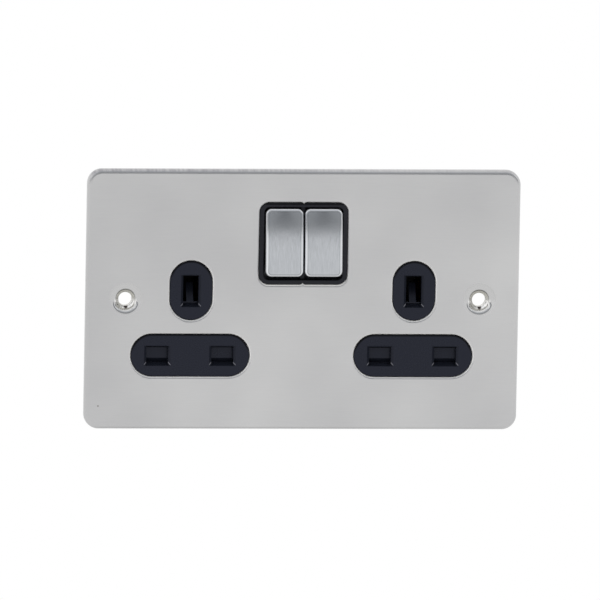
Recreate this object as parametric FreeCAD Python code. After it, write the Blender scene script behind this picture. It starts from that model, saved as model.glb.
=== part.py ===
import FreeCAD, Part
import math
import os

# Twin switched socket outlet for three rectangular pins, on a flat pressed steel plate.
# Frame: origin midway between the two fixing holes, in the plane of the wall. +X is to the right
# and +Z is up for someone who faces the socket, and +Y runs into the wall. All sizes are in millimetres.

V = FreeCAD.Vector

# Front plate: a tray pressed from brushed stainless sheet
plate_end_margin = 13.5      # middle of a fixing hole to the end of the plate
plate_height = 88.8
plate_depth = 3.2            # from the wall to the front face
plate_sheet = 1.2
plate_corner_radius = 5.0
plate_rim_fillet = 1.5
opening_roll = 0.8           # round edge drawn in by the punch, round the openings
fixing_hole_radius = 2.35
countersink_radius = 4.0
countersink_depth = 1.6
countersink_roll = 1.8       # soft edge of the pressed seat
dimple_depth = 2.0           # back of the pressed dimple, below the plate's face
dimple_back_radius = 3.3
dimple_lip_radius = 4.4

# Places and sizes of the pins
earth_pin_z = 3.1
pin_pitch = 22.2             # line to neutral, and earth down to both
earth_pin_height = 7.92
line_pin_width = 6.35
pin_thick = 3.97

# Apertures for the pins, at the throat, and the lead-in round them
slot_width_clearance = 1.05
slot_thick_clearance = 1.25
slot_lead_in = 0.85
slot_foot_drop = 1.05        # fall of an aperture's sloping floor, towards the front

# Raised pads of the front moulding, which fill the plate's openings
pad_width = 14.4
earth_pad_height = 20.2
line_pad_width = 40.4
pad_gap = 0.12               # round each pad, inside its opening
pad_recess = 0.55            # pad face below the plate's face
pad_edge_fillet = 0.3

# Switch opening and surround
switch_z = 19.2
switch_width = 30.2
switch_height = 28.2
switch_corner_radius = 3.4
cusp_radius = 1.4            # the two lobes of the opening meet in a small cusp
cusp_half_width = 1.1
surround_recess = 0.25       # surround face below the plate's face
surround_border = 1.7
surround_edge_fillet = 0.3
surround_inner_radius = 1.8
surround_flange = 1.2        # lip that the plate traps
surround_flange_thick = 0.8
surround_wall = 1.0
surround_back_y = 3.4
surround_floor = 0.6         # keeps fingers and dust from the contacts
hub_swing_gap = 0.3          # round a tilted hub, in its window in the floor
mullion_thick = 1.4
mullion_front_y = -0.7
bearing_half_height = 2.6
bearing_front_y = -1.6

# Rockers
rocker_gap = 0.4             # between the two rockers
rocker_side_gap = 0.3        # rocker to surround
rocker_height = 23.1
rocker_end_y = -5.6          # front corners of a rocker at mid travel
rocker_crown_radius = 150.0  # the face is slightly convex, from top to bottom
rocker_corner_radius = 2.0
rocker_edge_fillet = 1.0
rocker_skirt_y = -2.6
rocker_cap_sheet = 0.6
rocker_pivot_y = 0.4
rocker_half_travel = 7.0     # degrees each side of the middle
rocker_web_inset = 0.7       # web inside the cap's sides
rocker_web_half_height = 7.0
rocker_web_back_y = 1.7
trunnion_radius = 1.3
trunnion_length = 0.7
bearing_clearance = 0.05

# Front moulding
moulding_gap = 0.3           # round the flange, inside the plate's rim
flange_back_y = -0.2
front_wall_y = 0.6           # rear of the front wall, where the shutters run
lug_radius = 6.5
lug_back_y = 0.1
seat_clearance = 0.1

# Rear moulding
base_back_y = 22.0
base_wall = 1.8
base_side_gap = 0.9          # end of a shutter to the side wall
base_bottom_gap = 2.2        # open shutter to the bottom wall
base_top_rim = 0.8           # front moulding above the surround, inside the top wall
base_to_fixing = 4.3         # side of the base to the middle of a fixing hole
base_floor_thick = 6.0
base_corner_radius = 4.0
base_back_fillet = 1.0
core_floor = 1.8             # left between a rear pocket and the strips
core_rib = 2.0
core_corner_radius = 1.0
core_columns = 3             # of pockets above the earth pins, on each side
core_lower_columns = 2
plug_gap = 0.2               # front moulding's plug inside the base

# Bushes in the lugs, and the earth straps from them
bush_wall = 0.85
bush_flare_radius = 3.9
bush_flare_thick = 0.5
strap_sheet = 0.6
strap_width = 6.0
strap_end_radius = 4.6
strap_leg_inset = 2.1        # leg inside the base's inner wall
strap_foot = 7.0
strap_rivet_radius = 1.2
strap_rivet_head_radius = 2.4
strap_rivet_head_thick = 0.5

# Shutters
shutter_gap = 0.2            # all round a shutter
shutter_back_y = 4.6
shutter_plate_thick = 1.6
shutter_travel = 6.0
blade_end = 0.5              # blade past the end of its aperture
blade_top = 3.3              # above the pin's middle
blade_bottom = 2.9
blade_foot_height = 1.5      # slope on the lower front edge of the blades
blade_foot_depth = 0.8
ramp_width = 2.4
ramp_top = 1.9               # above the earth pin's middle
ramp_height = 6.2
stem_half_width = 3.2
stem_window_half = 1.9
stem_window_top = 1.8        # below the foot of the ramp
peg_height = 1.6
peg_above_blade = 2.4        # top of the peg over the top of the blades
guide_thick = 1.2
guide_length = 10.5
guide_lip = 0.6
guide_lip_thick = 1.0
shutter_spring_radius = 1.3
shutter_spring_wire = 0.4
shutter_spring_turns = 6

# Wire of every spring, as a few flat sides
spring_wire_sides = 6
spring_stations = 12         # sections in one turn
spring_closed_gap = 0.05     # between the turns at a closed end

# Sheet metal: two planes of strips
strip_sheet = 0.8
earth_strip_y = 5.2          # front face of the earth bar
strip_width = 4.0
neutral_run_gap = 1.0        # neutral run above the base's bottom wall
line_run_z = 14.0
earth_bar_width = 8.0

# Contact clips
clip_width = 6.0
clip_base_half = 3.4
clip_clearance = 0.16        # pin to leaf
clip_pinch_y = 9.5
clip_mouth_half = 3.4
clip_mouth_y = 6.0
clip_sheet = 0.5
earth_clip_pinch_y = 11.0
earth_clip_end_y = 16.5
earth_clip_end_half = 3.0
earth_window_margin = 1.2
earth_plate_margin = 3.0

# Terminals
terminal_z = -18.0
terminal_width = 7.4
terminal_side_gap = 0.375    # terminal block to a partition
terminal_to_post = 4.75      # outer block to the post of a middle screw
terminal_height = 9.0
cable_bore_radius = 2.1
cable_bore_y = 10.2
cable_entry_radius = 3.2
terminal_screw_radius = 1.7
terminal_head_radius = 2.8
terminal_head_thick = 2.0
terminal_slot_width = 0.9
terminal_slot_depth = 0.9
terminal_access_radius = 3.2
way_chamfer = 0.6            # round the ways in for a cable and for a screwdriver
terminal_tab_width = 6.0
partition_thick = 1.2

# Switch mechanism
plunger_radius = 1.4
plunger_reach = 9.0          # rocker pivot to plunger tip
plunger_length = 6.5
plunger_bore_clearance = 0.05
plunger_bore_bottom = 0.6    # below the rocker pivot
plunger_spring_wire = 0.3
plunger_spring_turns = 4
hub_radius = 2.6
hub_back_y = 6.0
lever_half_travel = 8.0      # degrees each side of the middle
lever_axis_y = 10.3
lever_thick = 0.9
lever_front = 0.8            # front face of a lever to its axis
lever_half_length = 8.2
lever_width = 4.6
lever_end_radius = 1.2
lever_pin_radius = 0.7
lever_side_gap = 0.2
cradle_ear_half_height = 2.2
cradle_ear_front = 1.4       # ear in front of the lever's axis
contact_arm = 6.6            # lever axis to its contact
contact_radius = 1.6
contact_height = 0.9
contact_stem_radius = 1.1
contact_gap = 0.1            # left between the closed contacts
supply_width = 3.0
supply_bar_height = 3.8
supply_turn_z = -10.0

# Screws that hold the two mouldings together
case_screw_radius = 1.2
case_screw_head_radius = 2.2
case_screw_head_thick = 1.4
case_screw_bite = 4.5        # length in the front moulding's boss
case_screw_slot_width = 0.6
case_screw_slot_depth = 0.6
case_head_recess = 0.4       # head below the rear face
front_boss_radius = 2.1
front_boss_back_y = 6.5
rear_post_radius = 2.4
screw_clearance = 0.05
boss_to_shutter = 0.4
corner_screw_inset = 4.4     # from the sides of the base
middle_screw_z = -13.5
bar_post_x = 21.5

# Values that follow from the sizes above
plate_front_y = -plate_depth
sheet_back_y = plate_front_y + plate_sheet
pad_front_y = plate_front_y + pad_recess
surround_front_y = plate_front_y + surround_recess
line_pin_z = earth_pin_z - pin_pitch
line_slot_width = line_pin_width + slot_width_clearance
line_slot_height = pin_thick + slot_thick_clearance
earth_slot_width = pin_thick + slot_thick_clearance
earth_slot_height = earth_pin_height + slot_width_clearance + slot_lead_in / 2
terminal_pitch = terminal_width + partition_thick + 2 * terminal_side_gap
blade_half = pin_pitch / 2 + line_slot_width / 2 + blade_end
middle_screw_x = terminal_pitch + terminal_width / 2 + terminal_to_post + rear_post_radius
outlet_offset = middle_screw_x + front_boss_radius + boss_to_shutter + blade_half
base_inner_half = outlet_offset + blade_half + base_side_gap
base_width = 2 * (base_inner_half + base_wall)
fixing_centres = base_width + 2 * base_to_fixing    # comes to the standard 120.6 mm
plate_width = fixing_centres + 2 * plate_end_margin
switch_inner_half_width = switch_width / 2 - surround_border
switch_inner_half_height = switch_height / 2 - surround_border
rocker_width = switch_inner_half_width - rocker_side_gap - rocker_gap / 2
rocker_x = rocker_gap / 2 + rocker_width / 2
base_front_y = flange_back_y
base_top_z = switch_z + switch_inner_half_height + surround_wall + seat_clearance + base_top_rim
base_top_z += plug_gap + base_wall
base_bottom_z = line_pin_z - blade_bottom - shutter_travel - base_bottom_gap - base_wall
strip_back_y = base_back_y - base_floor_thick
rear_strip_y = strip_back_y - strip_sheet
clip_pinch_half = pin_thick / 2 + clip_clearance
shutter_front_y = front_wall_y + shutter_gap
ramp_top_z = earth_pin_z + ramp_top
ramp_foot_z = ramp_top_z - ramp_height
blade_top_z = line_pin_z + blade_top
blade_bottom_z = line_pin_z - blade_bottom
peg_top_z = blade_top_z + peg_above_blade
stem_window_top_z = ramp_foot_z - stem_window_top
spring_y = (shutter_front_y + shutter_back_y) / 2
neutral_run_z = base_bottom_z + base_wall + neutral_run_gap + strip_width / 2
terminal_front_y = earth_strip_y + strip_sheet
terminal_back_y = rear_strip_y
terminal_head_y = strip_back_y + seat_clearance
earth_plate_half_height = earth_pin_height / 2 + earth_window_margin + earth_plate_margin / 2
cradle_half = lever_width / 2 + lever_side_gap
bush_outer_radius = fixing_hole_radius + bush_wall
corner_screw_x = base_width / 2 - corner_screw_inset
corner_screw_z = base_top_z - corner_screw_inset
SIDES = {"left": -1, "right": 1}
same_place = 1e-5            # how close two faces or edges must lie to count as one


def box(x_from, x_to, y_from, y_to, z_from, z_to):
    return Part.makeBox(x_to - x_from, y_to - y_from, z_to - z_from, V(x_from, y_from, z_from))


def rod_x(radius, x_from, x_to, y, z):
    return Part.makeCylinder(radius, x_to - x_from, V(x_from, y, z), V(1, 0, 0))


def rod_y(radius, y_from, y_to, x, z):
    return Part.makeCylinder(radius, y_to - y_from, V(x, y_from, z), V(0, 1, 0))


def rod_z(radius, z_from, z_to, x, y):
    return Part.makeCylinder(radius, z_to - z_from, V(x, y, z_from), V(0, 0, 1))


def cone_y(radius_from, radius_to, y_from, y_to, x, z):
    return Part.makeCone(radius_from, radius_to, y_to - y_from, V(x, y_from, z), V(0, 1, 0))


def join(shapes):
    return shapes[0].fuse(shapes[1:]).removeSplitter()


def prism(points, direction):
    """Solid with a flat polygon as its section, pushed along a vector."""
    return Part.Face(Part.makePolygon(points + points[:1])).extrude(direction)


def edges_along_y(shape):
    """Straight edges square to the wall."""
    return [e for e in shape.Edges if max(e.BoundBox.XLength, e.BoundBox.ZLength) < same_place]


def rounded_block(x, z, width, height, radius, y_from, y_to):
    """Block with rounded corners, seen from the front, centred on x and z."""
    block = box(x - width / 2, x + width / 2, y_from, y_to, z - height / 2, z + height / 2)
    return block.makeFillet(radius, edges_along_y(block))


def stadium(x, z, width, height, y_from, y_to):
    """Block with two half-round ends, seen from the front."""
    radius = min(width, height) / 2
    reach_x = width / 2 - radius
    reach_z = height / 2 - radius
    half_x = reach_x if reach_x > reach_z else radius
    half_z = reach_z if reach_z > reach_x else radius
    middle = box(x - half_x, x + half_x, y_from, y_to, z - half_z, z + half_z)
    ends = [rod_y(radius, y_from, y_to, x + s * reach_x, z + s * reach_z) for s in SIDES.values()]
    return join([middle] + ends)


def edges_at_y(shape, y, limit_x, limit_z):
    """Edges that lie in one plane parallel to the wall, inside a given reach."""
    found = []
    for edge in shape.Edges:
        reach = edge.BoundBox
        flat = abs(reach.YMin - y) < same_place and abs(reach.YMax - y) < same_place
        centre = edge.CenterOfMass
        if flat and abs(centre.x) < limit_x and abs(centre.z) < limit_z:
            found.append(edge)
    return found


def lobed_block(grow, y_from, y_to):
    """Outline of the switch opening, grown by a margin: two rounded lobes that meet in a cusp."""
    half_w = switch_width / 2 + grow
    half_h = switch_height / 2 + grow
    corner = switch_corner_radius + grow
    lobe = cusp_radius + grow
    lobe_z = half_h - lobe
    middle = math.pi / 2 + math.asin(cusp_half_width / lobe)
    bend = (math.pi / 2 + middle) / 2
    notch_z = lobe_z + lobe * math.sin(middle)
    turn = math.pi / 4

    def at(x, z):
        return V(x, y_from, switch_z + z)

    lobe_arc = Part.Arc(
        at(0, notch_z),
        at(cusp_half_width + lobe * math.cos(bend), lobe_z + lobe * math.sin(bend)),
        at(cusp_half_width, half_h),
    )
    corner_arc = Part.Arc(
        at(half_w - corner, half_h),
        at(half_w - corner + corner * math.cos(turn), half_h - corner + corner * math.sin(turn)),
        at(half_w, half_h - corner),
    )
    edges = [lobe_arc.toShape(), Part.makeLine(at(cusp_half_width, half_h), at(half_w - corner, half_h))]
    edges += [corner_arc.toShape(), Part.makeLine(at(half_w, half_h - corner), at(half_w, 0))]
    edges += [edge.mirror(at(0, 0), V(0, 0, 1)) for edge in edges]
    edges += [edge.mirror(at(0, 0), V(1, 0, 0)) for edge in edges]
    wire = Part.Wire(Part.__sortEdges__(edges))
    return Part.Face(wire).extrude(V(0, y_to - y_from, 0))


def inner_block(grow, y_from, y_to):
    """Opening inside the surround, grown by a margin."""
    width = 2 * (switch_inner_half_width + grow)
    height = 2 * (switch_inner_half_height + grow)
    return rounded_block(0, switch_z, width, height, surround_inner_radius + grow, y_from, y_to)


def spring(start, axis, radius, wire, length, turns):
    """Compression spring between two planes square to its axis, with a closed turn at each end."""
    closed_pitch = wire + spring_closed_gap
    open_turns = turns - 2
    pitch = (length - wire - 2 * closed_pitch) / open_turns
    sections = []
    for station in range(turns * spring_stations + 1):
        turn = station / spring_stations
        closed = min(turn, 1) + max(turn - 1 - open_turns, 0)
        height = wire / 2 + closed_pitch * closed + pitch * min(max(turn - 1, 0), open_turns)
        angle = 2 * math.pi * turn
        corners = []
        for corner in range(spring_wire_sides):
            around = 2 * math.pi * corner / spring_wire_sides
            reach = radius + wire / 2 * math.cos(around)
            up = height + wire / 2 * math.sin(around)
            corners.append(V(reach * math.cos(angle), reach * math.sin(angle), up))
        sections.append(Part.makePolygon(corners + corners[:1]))
    coil = Part.makeLoft(sections, True, True)
    coil.Placement = FreeCAD.Placement(start, FreeCAD.Rotation(V(0, 0, 1), axis))
    return coil


def leaf(points, sheet, side):
    """Bent strip: a path of points given a thickness towards one side, as a flat section."""
    count = len(points)
    normals = []
    for first, last in zip(points[:-1], points[1:]):
        length = math.hypot(last[0] - first[0], last[1] - first[1])
        normals.append(((first[1] - last[1]) / length * side, (last[0] - first[0]) / length * side))
    outer = []
    for index in range(count):
        before = normals[max(index - 1, 0)]
        after = normals[min(index, count - 2)]
        across = (before[0] + after[0], before[1] + after[1])
        scale = 2 * sheet / (across[0] ** 2 + across[1] ** 2)
        outer.append((points[index][0] + across[0] * scale, points[index][1] + across[1] * scale))
    return points + outer[::-1]


def slotted_head(radius, thick, y_from, x, z, slot_width, slot_depth):
    """Round screw head with a driver slot in its rear face."""
    head = rod_y(radius, y_from, y_from + thick, x, z)
    slot = box(x - radius, x + radius, y_from + thick - slot_depth, y_from + thick,
               z - slot_width / 2, z + slot_width / 2)
    return head.cut(slot)


def outlet_pads(grow, y_from, y_to, x):
    """The two pads of one outlet, or their openings."""
    upper = stadium(x, earth_pin_z, pad_width + 2 * grow, earth_pad_height + 2 * grow, y_from, y_to)
    lower = stadium(x, line_pin_z, line_pad_width + 2 * grow, pad_width + 2 * grow, y_from, y_to)
    return [upper, lower]


def front_plate():
    shell = rounded_block(0, 0, plate_width, plate_height, plate_corner_radius, plate_front_y, 0)
    shell = shell.makeFillet(plate_rim_fillet, edges_at_y(shell, plate_front_y, plate_width, plate_height))
    hollow = rounded_block(0, 0, plate_width - 2 * plate_sheet, plate_height - 2 * plate_sheet,
                           plate_corner_radius - plate_sheet, sheet_back_y, 0)
    plate = shell.cut(hollow)
    dimple_back_y = plate_front_y + dimple_depth
    seats = []
    openings = [lobed_block(0, plate_front_y, sheet_back_y)]
    for side in SIDES.values():
        x = side * fixing_centres / 2
        dimple = cone_y(dimple_lip_radius, dimple_back_radius, sheet_back_y, dimple_back_y, x, 0)
        plate = plate.fuse(dimple)
        sink_y = plate_front_y + countersink_depth
        seats.append(cone_y(countersink_radius, fixing_hole_radius, plate_front_y, sink_y, x, 0))
        seats.append(rod_y(fixing_hole_radius, plate_front_y, dimple_back_y, x, 0))
        openings += outlet_pads(pad_gap, plate_front_y, sheet_back_y, side * outlet_offset)
    plate = plate.cut(seats).removeSplitter()
    limit_x = plate_width / 2 - plate_corner_radius
    limit_z = plate_height / 2 - plate_corner_radius
    plate = plate.makeFillet(countersink_roll, edges_at_y(plate, plate_front_y, limit_x, limit_z))
    plate = plate.cut(openings).removeSplitter()
    limit_x = outlet_offset + line_pad_width / 2 + pad_gap
    return plate.makeFillet(opening_roll, edges_at_y(plate, plate_front_y, limit_x, limit_z))


def pin_aperture(x, z, width, height):
    """Aperture through the front wall, with a lead-in round it and a floor that slopes to the front."""
    throat_y = pad_front_y + slot_lead_in
    fall = slot_foot_drop / (front_wall_y - pad_front_y)

    def outline(grow, y):
        across = width / 2 + grow
        top = z + height / 2 + grow
        low = z - height / 2 - fall * (front_wall_y - y)
        corners = [V(x - across, y, low), V(x + across, y, low)]
        corners += [V(x + across, y, top), V(x - across, y, top)]
        return Part.makePolygon(corners + corners[:1])

    lead_in = Part.makeLoft([outline(slot_lead_in, pad_front_y), outline(0, throat_y)], True, True)
    throat = Part.makeLoft([outline(0, throat_y), outline(0, front_wall_y)], True, True)
    return join([lead_in, throat])


def shutter_guides(x):
    """Ribs and lips that hold a shutter's stem, and the peg that its spring stands on."""
    inner = stem_half_width + shutter_gap
    outer = inner + guide_thick
    lip_y = shutter_back_y + shutter_gap
    top = ramp_foot_z - seat_clearance
    bottom = top - guide_length
    pieces = []
    for side in SIDES.values():
        low, high = sorted([x + side * inner, x + side * outer])
        pieces.append(box(low, high, front_wall_y, lip_y, bottom, top))
        low, high = sorted([x + side * (stem_half_width - guide_lip), x + side * outer])
        lip_top = earth_pin_z - earth_plate_half_height - shutter_gap
        pieces.append(box(low, high, lip_y, lip_y + guide_lip_thick, bottom, lip_top))
    peg_half = stem_window_half - shutter_gap
    pieces.append(box(x - peg_half, x + peg_half, front_wall_y, shutter_back_y,
                      peg_top_z - peg_height, peg_top_z))
    return pieces


def case_screw_places():
    places = []
    for side in SIDES.values():
        places.append((side * corner_screw_x, corner_screw_z))
        places.append((side * middle_screw_x, middle_screw_z))
    return places


def front_moulding():
    inner_width = plate_width - 2 * (plate_sheet + moulding_gap)
    inner_height = plate_height - 2 * (plate_sheet + moulding_gap)
    corner = plate_corner_radius - plate_sheet - moulding_gap
    flange = rounded_block(0, 0, inner_width, inner_height, corner, sheet_back_y, flange_back_y)
    plug_low = base_bottom_z + base_wall + plug_gap
    plug_high = base_top_z - base_wall - plug_gap
    plug_z = (plug_low + plug_high) / 2
    plug = rounded_block(0, plug_z, 2 * (base_inner_half - plug_gap), plug_high - plug_low,
                         base_corner_radius - base_wall, flange_back_y, front_wall_y)
    pieces = [flange, plug]
    cutters = []
    for side in SIDES.values():
        outlet_x = side * outlet_offset
        for pad in outlet_pads(0, pad_front_y, flange_back_y, outlet_x):
            rims = edges_at_y(pad, pad_front_y, plate_width, plate_height)
            pieces.append(pad.makeFillet(pad_edge_fillet, rims))
        pieces += shutter_guides(outlet_x)
        lug_x = side * fixing_centres / 2
        pieces.append(rod_y(lug_radius, flange_back_y, lug_back_y, lug_x, 0))
        dimple_back_y = plate_front_y + dimple_depth
        spare = seat_clearance
        cutters.append(cone_y(dimple_lip_radius + spare, dimple_back_radius + spare,
                              sheet_back_y, dimple_back_y, lug_x, 0))
        cutters.append(rod_y(bush_outer_radius, sheet_back_y, lug_back_y, lug_x, 0))
        cutters.append(pin_aperture(outlet_x, earth_pin_z, earth_slot_width, earth_slot_height))
        for pin in SIDES.values():
            cutters.append(pin_aperture(outlet_x + pin * pin_pitch / 2, line_pin_z,
                                        line_slot_width, line_slot_height))
        strap_half = strap_width / 2 + seat_clearance
        leg_x = base_inner_half - strap_leg_inset - strap_sheet - seat_clearance
        low, high = sorted([side * leg_x, side * base_width / 2])
        cutters.append(box(low, high, lug_back_y, front_wall_y, -strap_half, strap_half))
    for x, z in case_screw_places():
        pieces.append(rod_y(front_boss_radius, flange_back_y, front_boss_back_y, x, z))
        cutters.append(rod_y(case_screw_radius + screw_clearance,
                             front_boss_back_y - case_screw_bite, front_boss_back_y, x, z))
    flange_seat_y = sheet_back_y + surround_flange_thick
    cutters.append(lobed_block(surround_flange + seat_clearance, sheet_back_y, flange_seat_y))
    cutters.append(inner_block(surround_wall + seat_clearance, flange_seat_y, front_wall_y))
    return join(pieces).cut(cutters).removeSplitter()


def mouth_edges(edges):
    """Those of the front edges that bound the surround's inner opening."""
    half_w = switch_inner_half_width + surround_edge_fillet
    half_h = switch_inner_half_height + surround_edge_fillet
    kept = []
    for edge in edges:
        centre = edge.CenterOfMass
        if abs(centre.x) < half_w and abs(centre.z - switch_z) < half_h:
            kept.append(edge)
    return kept


def switch_surround():
    rim = lobed_block(-pad_gap, surround_front_y, sheet_back_y + surround_flange_thick)
    rim = rim.makeFillet(surround_edge_fillet, edges_at_y(rim, surround_front_y, plate_width, plate_height))
    flange = lobed_block(surround_flange, sheet_back_y, sheet_back_y + surround_flange_thick)
    walls = inner_block(surround_wall, sheet_back_y, surround_back_y)
    frame = join([rim, flange, walls]).cut(inner_block(0, surround_front_y, surround_back_y))
    mouth = edges_at_y(frame, surround_front_y, switch_inner_half_width + surround_wall / 2,
                       switch_z + switch_inner_half_height + surround_wall / 2)
    frame = frame.makeFillet(surround_edge_fillet, mouth_edges(mouth))
    inner_low = switch_z - switch_inner_half_height
    inner_high = switch_z + switch_inner_half_height
    half = mullion_thick / 2
    bearing_low = switch_z - bearing_half_height
    bearing_high = switch_z + bearing_half_height
    pieces = [frame, box(-half, half, mullion_front_y, surround_back_y, inner_low, inner_high)]
    pieces.append(box(-half, half, bearing_front_y, surround_back_y, bearing_low, bearing_high))
    ear_inner = rocker_x + rocker_width / 2 - rocker_web_inset + shutter_gap
    for side in SIDES.values():
        low, high = sorted([side * ear_inner, side * (switch_inner_half_width + surround_wall / 2)])
        pieces.append(box(low, high, bearing_front_y, surround_back_y, bearing_low, bearing_high))
    pieces.append(box(-switch_inner_half_width, switch_inner_half_width,
                      surround_back_y - surround_floor, surround_back_y, inner_low, inner_high))
    outer = ear_inner + trunnion_length
    cutters = [rod_x(trunnion_radius + bearing_clearance, -outer, outer, rocker_pivot_y, switch_z)]
    swing = math.radians(rocker_half_travel)
    high = hub_radius / math.cos(swing) + (surround_back_y - rocker_pivot_y) * math.tan(swing)
    high += hub_swing_gap
    wide = hub_radius + hub_swing_gap
    for side in SIDES.values():
        x = side * rocker_x
        cutters.append(box(x - wide, x + wide, surround_back_y - surround_floor, surround_back_y,
                           switch_z - high, switch_z + high))
    return join(pieces).cut(cutters)


def rocker_block(x, inset):
    """Crowned block of one rocker at mid travel; inset gives the body that fills the cap."""
    half_h = rocker_height / 2 - inset
    centre_y = rocker_end_y + math.sqrt(rocker_crown_radius ** 2 - (rocker_height / 2) ** 2)
    radius = rocker_crown_radius - inset
    end_y = centre_y - math.sqrt(radius ** 2 - half_h ** 2)
    crown = Part.Arc(V(0, end_y, switch_z - half_h), V(0, centre_y - radius, switch_z),
                     V(0, end_y, switch_z + half_h))
    top = V(0, end_y, switch_z + half_h)
    top_back = V(0, rocker_skirt_y, switch_z + half_h)
    low_back = V(0, rocker_skirt_y, switch_z - half_h)
    low = V(0, end_y, switch_z - half_h)
    wire = Part.Wire([crown.toShape(), Part.makeLine(top, top_back), Part.makeLine(top_back, low_back),
                      Part.makeLine(low_back, low)])
    half_w = rocker_width / 2 - inset
    block = Part.Face(wire).extrude(V(2 * half_w, 0, 0))
    block.translate(V(x - half_w, 0, 0))
    block = block.makeFillet(rocker_corner_radius - inset, edges_along_y(block))
    front = [e for e in block.Edges if e.BoundBox.YMax < rocker_skirt_y - rocker_cap_sheet / 2]
    return block.makeFillet(rocker_edge_fillet - inset / 2, front)


def tilt(shape, axis_y, degrees):
    shape.rotate(V(0, axis_y, switch_z), V(1, 0, 0), degrees)
    return shape


def rocker_cap(side):
    x = side * rocker_x
    cap = rocker_block(x, 0).cut(rocker_block(x, rocker_cap_sheet))
    return tilt(cap, rocker_pivot_y, -rocker_half_travel)


def rocker_body(side):
    x = side * rocker_x
    half = rocker_width / 2 - rocker_web_inset
    web = box(x - half, x + half, rocker_skirt_y, rocker_web_back_y,
              switch_z - rocker_web_half_height, switch_z + rocker_web_half_height)
    reach = half + trunnion_length
    trunnions = rod_x(trunnion_radius, x - reach, x + reach, rocker_pivot_y, switch_z)
    hub = rod_y(hub_radius, rocker_web_back_y, hub_back_y, x, switch_z)
    body = join([rocker_block(x, rocker_cap_sheet), web, trunnions, hub])
    bore = rod_y(plunger_radius + plunger_bore_clearance, rocker_pivot_y + plunger_bore_bottom,
                 hub_back_y, x, switch_z)
    return tilt(body.cut(bore), rocker_pivot_y, -rocker_half_travel)


def plunger(side):
    """Pin with a round tip that slides in the rocker's hub and pushes the lever over."""
    x = side * rocker_x
    tip_y = rocker_pivot_y + plunger_reach
    shank = rod_y(plunger_radius, tip_y - plunger_length, tip_y - plunger_radius, x, switch_z)
    tip = Part.makeSphere(plunger_radius, V(x, tip_y - plunger_radius, switch_z))
    return tilt(join([shank, tip]), rocker_pivot_y, -rocker_half_travel)


def plunger_spring(side):
    start_y = rocker_pivot_y + plunger_bore_bottom
    length = rocker_pivot_y + plunger_reach - plunger_length - start_y
    radius = plunger_radius - plunger_spring_wire / 2
    coil = spring(V(side * rocker_x, start_y, switch_z), V(0, 1, 0), radius,
                  plunger_spring_wire, length, plunger_spring_turns)
    return tilt(coil, rocker_pivot_y, -rocker_half_travel)


def contact_lever(side):
    """Rocking contact: a strip on a pin, with a contact on the rear of its upper end."""
    x = side * rocker_x
    front = lever_axis_y - lever_front
    back = front + lever_thick
    strip = rounded_block(x, switch_z, lever_width, 2 * lever_half_length, lever_end_radius, front, back)
    reach = cradle_half + strip_sheet
    pin = rod_x(lever_pin_radius, x - reach, x + reach, lever_axis_y, switch_z)
    button = rod_y(contact_radius, back, back + contact_height, x, switch_z + contact_arm)
    return tilt(join([strip, pin, button]), lever_axis_y, lever_half_travel)


def closed_contact_place():
    """Depth and height of the lever's contact face when the switch is on."""
    turn = math.radians(-lever_half_travel)
    depth = lever_thick - lever_front + contact_height
    y = depth * math.cos(turn) - contact_arm * math.sin(turn)
    z = depth * math.sin(turn) + contact_arm * math.cos(turn)
    return lever_axis_y + y, switch_z + z


def fixed_contact(side):
    """Rivet with a contact face, in the supply bar."""
    y, z = closed_contact_place()
    face_y = y + contact_gap + contact_radius * math.sin(math.radians(lever_half_travel))
    x = side * rocker_x
    head = rod_y(contact_radius, face_y, face_y + contact_height, x, z)
    return join([head, rod_y(contact_stem_radius, face_y, strip_back_y, x, z)])


def supply_bar():
    """Strip from the line terminal up to both fixed contacts."""
    y = closed_contact_place()[0]
    z = closed_contact_place()[1]
    half = supply_width / 2
    tab = terminal_tab_width / 2
    low = terminal_z - terminal_height / 2
    turn_low = supply_turn_z - half
    turn_high = supply_turn_z + half
    reach = rocker_x + contact_radius + strip_sheet
    pieces = [
        box(terminal_pitch - tab, terminal_pitch + tab, rear_strip_y, strip_back_y, low, turn_high),
        box(-half, terminal_pitch + tab, rear_strip_y, strip_back_y, turn_low, turn_high),
        box(-half, half, rear_strip_y, strip_back_y, turn_low, z + supply_bar_height / 2),
        box(-reach, reach, rear_strip_y, strip_back_y, z - supply_bar_height / 2, z + supply_bar_height / 2),
    ]
    bar = join(pieces)
    for side in SIDES.values():
        bar = bar.cut(rod_y(contact_stem_radius, y, strip_back_y, side * rocker_x, z))
    return bar.cut(terminal_screw_hole(terminal_pitch))


def terminal_screw_hole(x):
    return rod_y(terminal_screw_radius + screw_clearance, cable_bore_y, strip_back_y, x, terminal_z)


def pin_clip(x, z):
    """Pair of leaves that close on the two wide faces of a line or neutral pin."""
    root_y = rear_strip_y + clip_sheet
    path = [(root_y, clip_base_half), (clip_pinch_y, clip_pinch_half), (clip_mouth_y, clip_mouth_half)]
    pieces = [box(x - clip_width / 2, x + clip_width / 2, rear_strip_y, strip_back_y,
                  z - clip_base_half - clip_sheet, z + clip_base_half + clip_sheet)]
    for side in SIDES.values():
        section = [V(x - clip_width / 2, y, z + side * up) for y, up in leaf(path, clip_sheet, -1)]
        pieces.append(prism(section, V(clip_width, 0, 0)))
    return pieces


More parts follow.
